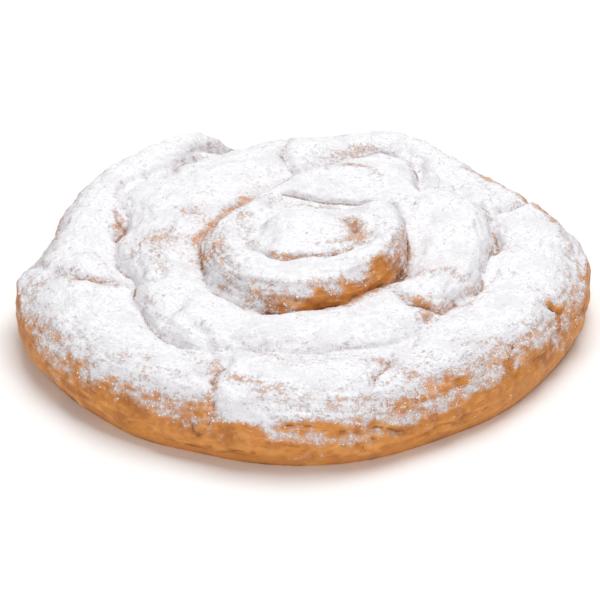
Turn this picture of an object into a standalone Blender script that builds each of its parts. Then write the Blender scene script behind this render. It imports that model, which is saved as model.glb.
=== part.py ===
"""An ensaimada: one rope of risen dough, wound in a flat coil of three turns and baked into one piece.

The rope is lofted along the coil from its loose outer end to the raised knob in the middle. Its turns
overlap a little and are fused, then creased where the dough folded over itself, and thinned to few faces.
Metres, +Z up, with the origin under the middle of the piece. It rests on its flat underside.
"""

import math

import bmesh
import bpy
import numpy as np
from mathutils import Vector, noise

MM = 0.001

# The coil, as the radius of the rope's outer edge against the angle turned, in millimetres and degrees.
# Each turn keeps its radius nearly all the way round, and steps in at the back, where it passes
# inside the turn before it.
OUTER_RADIUS = 65.0
FIRST_STEP_IN = 21.0
FIRST_STEP_FROM, FIRST_STEP_TO = 445.0, 525.0
SECOND_STEP_IN = 20.0
SECOND_STEP_FROM, SECOND_STEP_TO = 793.0, 845.0
TAIL_ANGLE = 103.0
RING_START_FROM, RING_START_TO = 765.0, 855.0
ROPE_END_ANGLE = 1150.0

# Where the edge swells out or is pressed in: (angle, amount in mm, half width in degrees).
SWELLS = (
    (118, 4.6, 12),
    (165, -4.2, 11),
    (190, 0.6, 9),
    (250, 1.6, 45),
    (322, -1.6, 22),
    (364, 1.2, 12),
    (398, -3.4, 13),
    (427, 2.6, 10),
    (500, 5.0, 9),
    (554, -4.2, 13),
    (592, 3.4, 14),
    (682, -5.6, 13),
    (712, -3.0, 14),
    (748, 3.6, 9),
    (787, 9.0, 11),
    (930, 1.6, 16),
    (1030, -2.2, 14),
    (1122, 4.6, 20),
)

# The rope's crest height, in mm, against the angle turned, and the shape of its section. The section is
# squarer below where it is buried against another turn, so that the fused coil is solid underneath.
TURN_HEIGHTS = ((103, 17.8), (300, 18.4), (440, 18.2), (560, 20.0), (800, 21.6), (930, 24.2), (1150, 24.8))
SECTION_POWER = 2.4
BURIED_POWER = 14
WIDEST_AT = 0.42
UNDERSIDE_DROP = 0.62
TAIL_ROUNDING, INNER_END_ROUNDING = 12.0, 30.0

# How far each turn is pressed into the next, as a share of its half width. The groove between two turns
# is nearly filled at two places: (angle, half width in degrees).
TURN_OVERLAP = 0.13
FILLED_GROOVE_OVERLAP = 0.16
FILLED_GROOVES = ((490, 14), (635, 38))

# The knob that the rope's inner end makes, the ring's inner edge around it (right, front, left, back),
# and the dough that fills the ring under it (radii at the base and at the top), in mm.
KNOB_CENTRE = (0.2, 8.4, 16.6)
KNOB_RADII = (11.4, 10.8, 10.2)
KNOB_EDGE_RADII = (14.0, 3.0, 10.4, 21.0)
HEART_HEIGHT = 20.5
HEART_RADII = (27.0, 17.0)

# Folds across the rope and cracks in its crust, in mm: (depth, half width, points in plan).
FOLDS = (
    (2.6, 2.0, ((-66, 4), (-56, -8), (-46, -11), (-38, -11))),
    (1.5, 1.6, ((-16, -37), (-17, -48), (-20, -56), (-21, -63))),
    (1.5, 1.6, ((23, -36), (19, -46), (16, -56), (15, -63))),
    (1.4, 1.6, ((26, -31), (24, -38), (22, -46))),
    (1.8, 1.6, ((41, 22), (46, 22), (49, 24), (54, 33))),
    (1.6, 1.6, ((-4, 61), (-5, 50), (-4, 43), (0, 38))),
    (1.8, 1.6, ((27, 45), (27, 34), (26, 27), (24, 19))),
    (1.4, 1.5, ((11, 41), (18, 37))),
    (1.2, 1.5, ((-31, 16), (-30, 6))),
    (1.2, 1.5, ((-31, -3), (-32, -14), (-38, -14))),
    (1.3, 1.6, ((-25, -21), (-31, -32))),
    (1.6, 1.8, ((18, -17), (23, -25), (31, -25), (37, -17))),
    (4.0, 2.4, ((13, -2), (12, 6), (13, 13))),
)

FOLD_WANDER_SIZE, FOLD_WANDER = 9.0, 2.2
FOLD_END_SHARE = 0.08

# Unevenness of the risen dough, in mm.
BUMP_SIZE, BUMP_HEIGHT = 13.0, 0.9
RIPPLE_SIZE, RIPPLE_HEIGHT = 4.5, 0.35

# How finely it is made: the loft's steps, in degrees, and the fusing, in mm.
ANGLE_STEP = 5.0
SECTION_SIDES = 28
SMALLEST_TAPER = 0.02
FUSING_VOXEL = 0.9
SMOOTHING_ROUNDS = 6
BASE_SNAP = 0.55
MOST_TRIANGLES = 9600
CRUST_COLOUR = (0.60, 0.31, 0.12, 1.0)


def smooth_step(value, start, end):
    share = min(1.0, max(0.0, (value - start) / (end - start)))
    return share * share * (3 - 2 * share)


def bell(value, centre, half_width):
    return math.exp(-(((value - centre) / half_width) ** 2))


def along(table, value):
    """Reads a table of (position, size) pairs, straight between its rows."""
    return float(np.interp(value, [row[0] for row in table], [row[1] for row in table]))


def coil_edge(angle):
    """Radius of the rope's outer edge, which is also the inner edge of the turn around it."""
    radius = OUTER_RADIUS
    radius -= FIRST_STEP_IN * smooth_step(angle, FIRST_STEP_FROM, FIRST_STEP_TO)
    radius -= SECOND_STEP_IN * smooth_step(angle, SECOND_STEP_FROM, SECOND_STEP_TO)
    return radius + sum(amount * bell(angle, centre, spread) for centre, amount, spread in SWELLS)


def knob_edge(angle):
    """Radius from the origin to the knob's edge: it sits off the middle, towards the back."""
    right, front, left, back = KNOB_EDGE_RADII
    quarter = (angle % 360) / 90
    radii = (right, back, left, front, right)
    low = int(quarter)
    return radii[low] + (radii[low + 1] - radii[low]) * smooth_step(quarter, low, low + 1)


def rope_section(angle):
    """(outer radius, inner radius, crest height) of the rope, before its turns are fused."""
    outer = coil_edge(angle)
    inner = coil_edge(angle + 360)
    ring = smooth_step(angle, RING_START_FROM, RING_START_TO)
    inner += (knob_edge(angle) - inner) * ring
    height = along(TURN_HEIGHTS, angle)
    overlap = TURN_OVERLAP + sum(
        FILLED_GROOVE_OVERLAP * bell(angle % 360, centre % 360, spread) for centre, spread in FILLED_GROOVES
    )
    overlap *= (outer - inner) / 2
    inner -= overlap
    outer += overlap * smooth_step(angle, FIRST_STEP_FROM, FIRST_STEP_TO)
    return outer, inner, height


def end_taper(angle):
    """Rounds the rope off at its two ends."""
    tail = (angle - TAIL_ANGLE) / TAIL_ROUNDING
    inner_end = (ROPE_END_ANGLE - angle) / INNER_END_ROUNDING
    share = min(1.0, max(SMALLEST_TAPER, min(tail, inner_end)))
    return math.sqrt(1 - (1 - share) ** 2)


def section_ring(mesh, angle):
    outer, inner, height = rope_section(angle)
    middle, half = (outer + inner) / 2, (outer - inner) / 2
    taper = end_taper(angle)
    turn = math.radians(angle)
    ring = []
    for side in range(SECTION_SIDES):
        phase = 2 * math.pi * side / SECTION_SIDES
        against_a_turn = math.cos(phase) < 0 or angle > FIRST_STEP_TO
        power = BURIED_POWER if math.sin(phase) < 0 and against_a_turn else SECTION_POWER
        across = math.copysign(abs(math.cos(phase)) ** (2 / power), math.cos(phase))
        up = math.copysign(abs(math.sin(phase)) ** (2 / power), math.sin(phase))
        rise = (1 - WIDEST_AT) if up > 0 else UNDERSIDE_DROP
        radius = middle + across * half * taper
        z = max(0.0, height * (WIDEST_AT + up * rise * taper))
        ring.append(mesh.verts.new((radius * math.cos(turn), radius * math.sin(turn), z)))
    return ring


def loft_rope(mesh):
    """The rope as a closed loft of unlike sections, from its loose end to its inner end."""
    steps = int((ROPE_END_ANGLE - TAIL_ANGLE) / ANGLE_STEP)
    rings = [
        section_ring(mesh, TAIL_ANGLE + (ROPE_END_ANGLE - TAIL_ANGLE) * step / steps) for step in range(steps + 1)
    ]
    for near, far in zip(rings, rings[1:]):
        for side in range(SECTION_SIDES):
            after = (side + 1) % SECTION_SIDES
            mesh.faces.new((near[side], far[side], far[after], near[after]))
    mesh.faces.new(rings[0])
    mesh.faces.new(reversed(rings[-1]))


def add_knob(mesh):
    made = bmesh.ops.create_uvsphere(mesh, u_segments=32, v_segments=20, radius=1.0)
    for vertex in made["verts"]:
        vertex.co = Vector(c + r * x for c, r, x in zip(KNOB_CENTRE, KNOB_RADII, vertex.co))


def add_heart(mesh):
    """The dough under the knob, which fills the middle of the ring down to the base."""
    base, top = HEART_RADII
    made = bmesh.ops.create_cone(
        mesh, cap_ends=True, segments=32, radius1=base, radius2=top, depth=HEART_HEIGHT
    )
    for vertex in made["verts"]:
        vertex.co += Vector((0, 0, HEART_HEIGHT / 2))


def object_from(mesh, name, collection):
    data = bpy.data.meshes.new(name)
    mesh.to_mesh(data)
    mesh.free()
    made = bpy.data.objects.new(name, data)
    collection.objects.link(made)
    return made


def apply_modifiers(obj):
    """Makes the object's evaluated mesh its own, and drops its modifiers."""
    bpy.context.view_layer.update()
    graph = bpy.context.evaluated_depsgraph_get()
    baked = bpy.data.meshes.new_from_object(obj.evaluated_get(graph))
    obj.modifiers.clear()
    obj.data = baked


def fuse_turns(obj):
    remesh = obj.modifiers.new("fuse turns", "REMESH")
    remesh.mode = "VOXEL"
    remesh.voxel_size = FUSING_VOXEL * MM
    smooth = obj.modifiers.new("settle", "SMOOTH")
    smooth.factor = 0.5
    smooth.iterations = SMOOTHING_ROUNDS
    apply_modifiers(obj)


def keep_largest_shell(obj):
    """Fills the small bubbles that fusing leaves between two turns, and drops loose scraps."""
    mesh = bmesh.new()
    mesh.from_mesh(obj.data)
    unseen = set(mesh.verts)
    shells = []
    while unseen:
        shell, edge = set(), {unseen.pop()}
        while edge:
            shell |= edge
            edge = {link.other_vert(vertex) for vertex in edge for link in vertex.link_edges} - shell
        unseen -= shell
        shells.append(shell)
    largest = max(shells, key=len)
    bmesh.ops.delete(mesh, geom=[vertex for vertex in mesh.verts if vertex not in largest], context="VERTS")
    mesh.to_mesh(obj.data)
    mesh.free()


def fold_depths(points):
    """How far the folds and cracks draw each point of the crust in. They fade towards their ends."""
    wander = np.array([noise.noise_vector(Vector(point) / FOLD_WANDER_SIZE)[:2] for point in points])
    flat = points[:, :2] + wander * FOLD_WANDER
    depths = np.zeros(len(points))
    for deep, half_width, line in FOLDS:
        nearest = np.full(len(points), np.inf)
        position = np.zeros(len(points))
        for index, (start, end) in enumerate(zip(line, line[1:])):
            run = np.subtract(end, start)
            share = np.clip((flat - start) @ run / (run @ run), 0, 1)
            distance = np.linalg.norm(flat - start - share[:, None] * run, axis=1)
            closer = distance < nearest
            nearest[closer] = distance[closer]
            position[closer] = (index + share[closer]) / (len(line) - 1)
        fade = np.sin(np.pi * np.clip(position, FOLD_END_SHARE, 1 - FOLD_END_SHARE)) ** 0.6
        depths = np.maximum(depths, deep * fade * np.exp(-((nearest / half_width) ** 2)))
    return depths


def uneven(point):
    """The gentle swelling and rippling of baked dough."""
    broad = noise.noise(point / BUMP_SIZE) * BUMP_HEIGHT
    return broad + noise.noise(point / RIPPLE_SIZE) * RIPPLE_HEIGHT


def shape_crust(obj):
    """Draws in the folds and raises the unevenness along the crust, and leaves the flat base alone."""
    vertices = obj.data.vertices
    normals = [vertex.normal.copy() for vertex in vertices]
    folds = fold_depths(np.array([vertex.co / MM for vertex in vertices]))
    for vertex, normal, fold in zip(vertices, normals, folds):
        point = vertex.co / MM
        move = uneven(point) - fold * smooth_step(normal.z, -0.5, 0.1)
        vertex.co += normal * (move * smooth_step(point.z, 1.0, 5.0) * MM)


def flatten_base(obj):
    for vertex in obj.data.vertices:
        if vertex.co.z < BASE_SNAP * MM:
            vertex.co.z = 0.0


def thin_faces(obj):
    obj.data.calc_loop_triangles()
    decimate = obj.modifiers.new("thin", "DECIMATE")
    decimate.ratio = MOST_TRIANGLES / len(obj.data.loop_triangles)
    apply_modifiers(obj)


def centre_on_origin(obj):
    corners = np.array([vertex.co for vertex in obj.data.vertices])
    low, high = corners.min(axis=0), corners.max(axis=0)
    for vertex in obj.data.vertices:
        vertex.co -= Vector(((low[0] + high[0]) / 2, (low[1] + high[1]) / 2, low[2]))


def crust_material():
    material = bpy.data.materials.new("crust")
    material.use_nodes = True
    shader = material.node_tree.nodes["Principled BSDF"]
    shader.inputs["Base Color"].default_value = CRUST_COLOUR
    shader.inputs["Roughness"].default_value = 0.6
    shader.inputs["Metallic"].default_value = 0.0
    return material


def main():
    for old in list(bpy.data.objects):
        bpy.data.objects.remove(old)
    collection = bpy.data.collections.new("ensaimada")
    bpy.context.scene.collection.children.link(collection)
    mesh = bmesh.new()
    loft_rope(mesh)
    add_knob(mesh)
    add_heart(mesh)
    bmesh.ops.scale(mesh, vec=(MM, MM, MM), verts=mesh.verts)
    bmesh.ops.recalc_face_normals(mesh, faces=mesh.faces)
    pastry = object_from(mesh, "ensaimada", collection)
    fuse_turns(pastry)
    keep_largest_shell(pastry)
    shape_crust(pastry)
    flatten_base(pastry)
    thin_faces(pastry)
    centre_on_origin(pastry)
    pastry.data.materials.clear()
    pastry.data.materials.append(crust_material())
    pastry.data.shade_smooth()


main()
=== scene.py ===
"""An ensaimada, dusted with icing sugar, on a pale studio floor.

The dough is rolled as a straight rope, wound into a flat coil, pressed together, baked uneven, and dusted.
Sizes are in millimetres and degrees until the pastry is fitted to the frame, in metres. Where a pair of
numbers is given as from and to, the effect sets in at the first and is full at the second.
"""
import math

import bpy
import numpy as np
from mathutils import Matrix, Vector, noise


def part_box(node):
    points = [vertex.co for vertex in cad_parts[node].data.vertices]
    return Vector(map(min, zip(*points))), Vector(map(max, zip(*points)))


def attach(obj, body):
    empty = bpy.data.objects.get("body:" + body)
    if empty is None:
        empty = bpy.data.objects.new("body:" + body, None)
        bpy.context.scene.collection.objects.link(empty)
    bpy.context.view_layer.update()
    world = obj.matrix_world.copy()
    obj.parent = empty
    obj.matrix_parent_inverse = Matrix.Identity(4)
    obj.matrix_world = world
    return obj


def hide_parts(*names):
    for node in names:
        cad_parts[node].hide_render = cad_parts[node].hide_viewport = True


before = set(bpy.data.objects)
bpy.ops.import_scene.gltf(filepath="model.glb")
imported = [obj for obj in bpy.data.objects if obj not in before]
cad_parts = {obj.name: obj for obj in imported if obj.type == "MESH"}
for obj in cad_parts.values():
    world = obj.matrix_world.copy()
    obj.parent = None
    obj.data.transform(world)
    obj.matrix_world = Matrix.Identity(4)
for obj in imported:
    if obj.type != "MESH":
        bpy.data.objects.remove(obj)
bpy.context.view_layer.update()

MM = 0.001

# The coil: the radius of the rope's outer edge against the angle turned.
OUTER_RADIUS = 65.0
FIRST_STEP_IN = 21.0
FIRST_STEP_FROM, FIRST_STEP_TO = 445.0, 525.0
SECOND_STEP_IN = 20.0
SECOND_STEP_FROM, SECOND_STEP_TO = 793.0, 845.0
TAIL_ANGLE = 103.0
RING_START_FROM, RING_START_TO = 765.0, 855.0
ROPE_END_ANGLE = 1150.0

# Where the edge swells out or is pressed in: (angle, amount, half width in degrees).
SWELLS = (
    (118, 4.6, 12),
    (165, -4.2, 11),
    (190, 0.6, 9),
    (224, -1.0, 9),
    (247, -1.4, 10),
    (250, 1.6, 45),
    (300, -2.6, 16),
    (322, -2.2, 22),
    (338, -1.9, 15),
    (398, -3.4, 13),
    (427, 2.6, 10),
    (500, 5.0, 9),
    (554, -4.2, 13),
    (592, 3.4, 14),
    (682, -5.6, 13),
    (712, -3.0, 14),
    (748, 3.6, 9),
    (787, 9.0, 11),
    (930, 1.6, 16),
    (972, 3.2, 30),
    (1030, -1.6, 14),
    (1122, 4.6, 20),
)

# The rope's crest height against the angle turned, and the shape of its section.
TURN_HEIGHTS = (
    (103, 17.8), (300, 18.4), (440, 18.2), (560, 20.0), (780, 21.0), (860, 21.8), (930, 24.0), (1070, 24.8),
    (1150, 22.0)
)
SECTION_POWER = 2.2
WIDEST_AT = 0.33
SECTION_RISE = 0.69
TURN_OVERLAP = 0.26
FILLED_GROOVE_OVERLAP = 0.16
FILLED_GROOVES = ((490, 18), (635, 38), (678, 12))
RING_FACE_OVERLAP_SHARE = 0.2
RING_FACE_FROM, RING_FACE_TO = (900.0, 950.0), (1060.0, 1100.0)
TAIL_ROUNDING, INNER_END_ROUNDING = 12.0, 30.0

# The knob in the middle, the ring's inner edge around it (right, front, left, back), and the dough below.
KNOB_CENTRE = (-0.5, 3.0, 16.2)
KNOB_RADII = (11.8, 13.4, 10.2)
KNOB_EDGE_RADII = (14.4, 9.8, 12.0, 18.0)
HEART_HEIGHT = 20.5
HEART_RADII = (27.0, 17.0)
FLOOR_OF_DOUGH_RADIUS, FLOOR_OF_DOUGH_HEIGHT = 54.0, 13.0

# How the dough is meshed: its steps along the rope and round its section, and how it is fused and cut flat.
ANGLE_STEP = 5.0
SECTION_SIDES = 28
SMALLEST_TAPER = 0.02
FUSING_VOXEL = 0.58
SMOOTHING_SHARE, SMOOTHING_ROUNDS = 0.5, 5
BASE_CUT = 0.12

# Risen dough closes its grooves: of a hollow narrower than twice the reach, about the limit stays open.
GROOVE_REACH = 7.5
GROOVE_LIMIT = 2.7
KNOB_GROOVE_LIMIT = 1.1
KNOB_GROOVE_EDGE = (16.0, 21.0)
HEIGHT_CELL = 0.8
HEIGHT_SOFTENING_ROUNDS = 4
GROOVE_SMOOTHING_ROUNDS = 3

# Near the rim the walls of a groove aren't filled, and near the base nothing is: from and to distances.
WALLS_FILLED_INSIDE_RIM = (6.0, 10.0)
FILLED_ABOVE_BASE = (3.0, 9.0)

# In front of the middle ring the groove stays open, and in front of the next turn it is almost closed:
# (how much deeper, half width, points in plan).
GROOVE_CHANGES = (
    (3.4, 5.0, ((-21, -15), (-11, -25), (0, -26), (7, -24), (18, -14.5), (22.5, -8))),
    (-1.7, 6.0, ((-26, -35), (-14, -41), (0, -44), (14, -41), (26, -35))),
)

# The side curls in under the pastry: by how much at the base, up to what height, and where it is more:
# (amount, middle angle, half width in degrees).
BASE_TUCK, BASE_TUCK_TOP = 1.2, 6.5
MORE_BASE_TUCK = ((1.2, 255, 45), (0.8, 211, 14))

# The line where two turns of the rope meet: a narrow cut at the bottom of the groove between them.
SEAM_DEPTH, SEAM_HALF_WIDTH = 0.9, 0.65
SEAM_WANDER_SIZE, SEAM_WANDER = 6.0, 0.6
SEAM_FADE_SIZE, SEAM_FADE = 8.0, (-0.3, 0.3)
FAINTEST_SEAM = 0.8
FILLED_SEAM_LOSS = 0.7

# Folds across the rope and cracks in its crust: (depth, half width, points in plan).
FOLDS = (
    (1.5, 1.3, ((-62, 1), (-56, -8), (-46, -11), (-38, -11))),
    (1.2, 0.9, ((-16, 58), (-24, 51), (-29, 45.5), (-34, 40))),
    (1.8, 1.0, ((43, 17), (43, 9), (41.5, 1))),
    (1.6, 0.9, ((-42, 22), (-41.5, 13))),
    (1.0, 1.0, ((-16, -37), (-17, -48), (-20, -56), (-21, -63))),
    (1.0, 1.0, ((-25, -33), (-20, -42), (-18, -50))),
    (1.1, 1.0, ((23, -36), (19, -46), (16, -56), (15, -63))),
    (0.9, 1.0, ((26, -31), (24, -38), (22, -46))),
    (1.6, 1.4, ((41, 22), (46, 22), (49, 24), (54, 33))),
    (1.4, 1.1, ((-4, 61), (-5, 50), (-4, 43), (0, 38))),
    (1.5, 1.3, ((27, 45), (27, 34), (26, 27), (24, 19))),
    (1.2, 1.0, ((11, 41), (18, 37))),
    (1.2, 1.1, ((-31, 16), (-30, 6))),
    (1.2, 1.1, ((-31, -3), (-32, -14), (-38, -14))),
    (1.2, 1.1, ((-25, -21), (-31, -32))),
    (1.4, 1.3, ((18, -17), (23, -25), (31, -25), (37, -17))),
    (1.6, 1.1, ((12.5, -2), (12, 4), (9, 10))),
    (1.4, 0.9, ((-13, 2), (-11, -6), (-6, -11), (0, -10.5), (7, -8.5), (13, -4))),
    (1.0, 0.6, ((54, -20), (57, -18))),
    (0.9, 0.6, ((9, -31), (12, -32))),
)
FOLD_WANDER_SIZE, FOLD_WANDER = 7.0, 1.8
FOLDED_FACING = (-0.5, 0.1)
DEEP_FOLD, SHALLOW_FOLD_CRACK = 1.8, 0.65
CRACK_WIDTH_SHARE = 0.6
LINE_END_SHARE, LINE_END_SOFTNESS = 0.08, 0.6

# Fine creases in the skin: how far apart they lie, how narrow they are, their depth, and where they show.
CREASE_SPACING, CREASE_NARROWNESS, CREASE_DEPTH = 9.0, 0.045, 0.35
CREASE_PATCH_SIZE, CREASE_PATCHES = 15.0, (-0.1, 0.2)
CREASE_FACING = (0.3, 0.7)
CREASE_CRACK = 0.75

# Where sugar has been rubbed or shaken off the top: (amount, half width, points in plan).
BARE_PATCHES = (
    (1.05, 2.4, ((-12, -22), (-7, -25), (0, -25.5), (7, -23.5), (13, -19), (19.5, -11.5), (23, 2))),
    (0.6, 4.0, ((-38, 1), (-33, 4), (-27, 6))),
    (0.5, 1.8, ((-32, 0), (-33, -6), (-31, -11))),
    (0.6, 3.0, ((-28, 16), (-24, 20))),
    (0.6, 1.4, ((-43, 12), (-43, 24))),
    (0.85, 2.0, ((-3, 34), (-7, 30), (-14, 24), (-20, 14), (-24, 5), (-24, -5))),
    (0.25, 1.2, ((-22, 53), (-26, 48), (-34, 40))),
    (0.5, 2.0, ((-15, 16), (-14, 11), (-13, 3))),
    (0.5, 2.6, ((2, 38), (5, 45), (9, 49), (13, 51), (20, 50))),
    (0.7, 1.3, ((6, 36), (12, 38), (17, 33))),
    (0.5, 2.2, ((20, -13), (27, -12), (34, -13), (38, -14))),
    (0.7, 2.2, ((19, -19), (24, -24), (30, -25), (37, -20))),
    (0.6, 2.2, ((25, -27), (27, -32))),
    (0.62, 1.1, ((-13, 2), (-11, -6), (-6, -11), (0, -10.5), (7, -8.5), (13, -4))),
    (1.0, 2.3, ((12.5, -4), (12, 3), (9, 10))),
    (0.6, 1.5, ((4, -5), (8, -3.5), (12, -2))),
    (0.55, 2.6, ((-19, 4), (-20, -6), (-17, -14))),
    (0.5, 1.6, ((-8, 20), (3, 20.5), (13, 18.5))),
    (0.5, 1.6, ((-59, -10), (-51, -10), (-42, -11), (-38, -15))),
    (0.3, 2.4, ((-28, -38), (-25, -44), (-21, -52))),
    (0.4, 1.6, ((-19, -46), (-20.5, -55), (-20.5, -62), (-20, -66))),
    (0.4, 1.5, ((-21, -49), (-16.5, -54), (-12, -57.5), (-5, -59.5), (2, -60))),
    (0.35, 2.6, ((-46, -37), (-40, -42), (-33, -48), (-27, -52))),
    (0.3, 3.0, ((-12, -44), (-4, -47), (8, -45))),
    (0.5, 2.6, ((10, -46), (18, -48), (24, -52))),
    (0.3, 3.0, ((28, -45), (36, -40), (44, -34))),
    (1.2, 2.0, ((38, 42), (43, 38), (48, 33), (53, 26.5), (57, 19))),
    (0.2, 2.6, ((59, 12), (61, 5), (62.5, -4), (59, -17))),
    (0.6, 0.8, ((54, -20), (57, -18))),
)

# The outer side and the rim on top of it start at these distances from the middle.
SIDE_RADII = (OUTER_RADIUS - 12, OUTER_RADIUS - 8)
RIM_RADII = (OUTER_RADIUS - 16, OUTER_RADIUS - 4)

# Where more or less sugar has settled on the outer side: (amount, half width, points as angle and height).
SIDE_SUGAR = (
    (0.8, 1.4, ((252, 15.0), (258, 13.2), (267, 9.6), (278, 7.8), (284, 7.4))),
    (0.6, 1.2, ((252, 14.0), (251.5, 9.0), (251, 6.0))),
    (0.5, 1.2, ((262, 4.0), (270, 3.6), (280, 4.0))),
    (-0.5, 1.9, ((297, 14.4), (306, 13.6), (314, 13.4))),
    (0.45, 1.3, ((292, 10.4), (302, 10.6), (314, 10.8))),
    (-0.45, 1.8, ((314, 13.6), (321, 13.4), (328, 13.2))),
    (-0.6, 2.6, ((298, 8.6), (308, 8.0), (320, 8.0), (334, 8.0))),
    (-0.4, 2.0, ((243, 13.0), (249, 12.5), (254, 11.0), (260, 8.5))),
    (-0.55, 2.8, ((216, 7.0), (232, 7.2), (249, 7.4))),
)

# How far the bare patches and all lines on the side wander off their drawn course.
PATCH_WANDER_SIZE, PATCH_WANDER = 4.0, 1.6

# Stretches of the rim with more or less sugar: (amount, middle angle, half width in degrees).
RIM_SUGAR = ((-0.08, 285, 30), (-0.15, 195, 20), (0.10, 236, 22), (0.10, 313, 15), (-0.08, 354, 18))

# The lower edge of the sugar, where its cover is about this much, runs in tongues of these sizes.
EDGE_COVER, EDGE_SPREAD = 0.4, 0.5
TONGUE_SIZE, TONGUE_REACH = 3.6, 0.45
LOBE_SIZE, LOBE_REACH = 10.0, 0.2

# Marks round the outer side: (depth, half width, points as angle and height). A negative depth is a ridge.
SIDE_MARKS = (
    (-1.0, 1.3, ((251, 16.0), (260, 12.4), (270, 8.3), (281, 7.0))),
    (0.3, 0.7, ((257, 15.0), (266, 12.2), (274, 10.6), (282, 9.4))),
    (0.5, 0.7, ((232, 3.0), (250, 2.9), (276, 2.9))),
    (0.4, 0.5, ((198, 2.2), (222, 1.8), (250, 1.6), (285, 1.4))),
    (0.6, 0.7, ((287, 1.8), (297, 5.2), (308, 5.2), (320, 5.4))),
    (0.6, 0.7, ((274, 9.0), (287, 3.0))),
    (0.4, 0.8, ((252, 15.0), (251, 6.0))),
    (0.5, 0.8, ((243, 8.6), (247, 9.6), (250, 7.2), (247, 5.4), (244, 6.6))),
    (0.6, 0.8, ((340, 12.5), (352, 9.0), (8, 8.0))),
    (0.5, 0.8, ((318, 8.5), (330, 9.5), (338, 8.0))),
)
SIDE_CRACK_PER_DEPTH = 2.2

# Unevenness of the baked dough: sizes and heights. Flakes lie slanting, like the skin of a wound rope.
BUMP_SIZE, BUMP_HEIGHT = 13.0, 1.0
RIPPLE_SIZE, RIPPLE_HEIGHT = 4.6, 0.55
WRINKLE_SIZE, WRINKLE_HEIGHT = 1.8, 0.28
FLAKE_LENGTH, FLAKE_WIDTH, FLAKE_HEIGHT = 8.0, 1.3, 0.55
FLAKE_SLANT = 0.7
NOISE_STEP = (31.7, 17.3, 5.1)

# How flaky the crust is: everywhere, on the outer side, and on the middle ring's left flank and its front:
# (amount, angles where it sets in, angles where it ends, least radii).
EVEN_FLAKINESS, SIDE_FLAKINESS = 0.3, 0.3
FLAKY_SIDE_RADII, TOP_FACING = (54, 60), (0.2, 0.7)
FLAKY_STRETCHES = (
    (1.3, (850, 880), (945, 975), (14, 18)),
    (0.6, (950, 970), (1070, 1110), (16, 20)),
)
FLAKY_FROM_KNOB = (9.0, 13.0)

# Ribs on the bare band at the front: their slope, size and height, and the band as angle and height.
RIB_SLOPE = 24.0
RIB_LENGTH, RIB_WIDTH, RIB_HEIGHT = 9.0, 1.5, 1.0
RIBBED_BAND = (2.6, ((257, 14.0), (268, 11.6), (280, 10.4), (292, 8.0)))

# The foot of the side is less uneven: (share of the unevenness, heights between which it sets in).
FOOT_UNEVENNESS = ((0.9, 1.0, 5.0), (0.1, 0.2, 1.0))

# Sugar covers the crust in full where it faces up this much, on a scale where a flat top is 1. Inside the
# outer turn it lies more thickly.
SUGAR_FULL_ABOVE = 0.88
SUGAR_INSIDE_GROOVES = 0.45
INSIDE_OUTER_SEAM = (-5.0, -1.0)
LEAST_SUGAR, MOST_SUGAR = -0.3, 1.15
OWN_FACING_SHARE, FACING_ROUNDS = 0.35, 16
LEVEL_FACING = (0.55, 0.97)

# Hollows in the crust: (name, how often the surface is smoothed to find them, depth that counts as full).
HOLLOWS = (("crevice", 4, 0.35), ("groove", 40, 1.6))

# Lumps of sugar lying loose on the crust: how many, their half widths, and how uneven and flat they are.
LUMP_COUNT, LUMP_SEED = 9500, 7
LUMP_SMALLEST, LUMP_LARGEST, LUMP_SIZE_POWER = 0.08, 0.26, 3
LUMP_LEAST_STRETCH, LUMP_STRETCH_RANGE = 0.6, 0.8
LUMP_ROUGHNESS = 0.5
LUMP_FLATNESS = 0.6

# Most lumps lie where the coat of sugar thins out, fewer where it is full, and few on almost bare crust:
# (share, from and to cover).
LUMP_COVER, LUMP_COVER_SPREAD = 0.5, 0.32
OTHER_LUMPS = ((0.25, 0.6, 0.9), (0.02, -0.2, 0.1))
LUMP_FACING = (-0.3, 0.2)

# Colours, linear.
CRUST_DARK = (0.36, 0.110, 0.018, 1.0)
CRUST_GOLD = (0.58, 0.216, 0.040, 1.0)
CRUST_PALE = (0.74, 0.35, 0.102, 1.0)
# Brown for painted shade in crevices and grooves, and for the dark of cracks in the crust.
SHADE_AND_CRACK_BROWN = (0.20, 0.072, 0.022, 1.0)
DUSTED_CRUST = (0.76, 0.57, 0.49, 1.0)
SUGAR_WHITE = (0.90, 0.895, 0.91, 1.0)
SUGAR_SHADE = (0.64, 0.62, 0.65, 1.0)
HAIRLINE_GREY = (0.46, 0.41, 0.41, 1.0)
CRACK_GREY = (0.23, 0.17, 0.15, 1.0)
FLOOR_WHITE = (0.94, 0.94, 0.94, 1.0)
LIGHT_WHITE = (1.0, 1.0, 1.0, 1.0)

# The floor and the soft studio light, in metres: (name, place, size, watts).
FLOOR_SIZE = 6.0
ROOM_LIGHT = 0.38
SOFTBOXES = (
    ("top softbox", (0.12, 0.25, 1.0), 0.8, 9.4),
    ("front softbox", (-0.08, -1.05, 0.17), 0.7, 5.4),
)

# The camera looks along +Y from above, through a long lens. Its distances are in metres, its target in mm.
CAMERA_ELEVATION = 30.0
CAMERA_DISTANCE = 1.5
CAMERA_SEES_FROM, CAMERA_SEES_TO = 0.05, 20.0
CAMERA_TARGET = (-0.9, 0.7, 6.1)
FRAME_PIXELS, PIXELS_PER_MM = 600, 4.37
SENSOR_WIDTH = 36.0


def smooth_step(value, start, end):
    share = np.clip((np.asarray(value, float) - start) / (end - start), 0, 1)
    return share * share * (3 - 2 * share)


def bell(value, centre, half_width):
    return np.exp(-(((value - centre) / half_width) ** 2))


def along(table, value):
    """Reads a table of (position, size) pairs, straight between its rows."""
    return np.interp(value, [row[0] for row in table], [row[1] for row in table])


def angle_from(centre, azimuth):
    """The angle from the centre round to the azimuth, between -180 and 180 degrees."""
    return (azimuth - centre + 180) % 360 - 180


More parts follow.
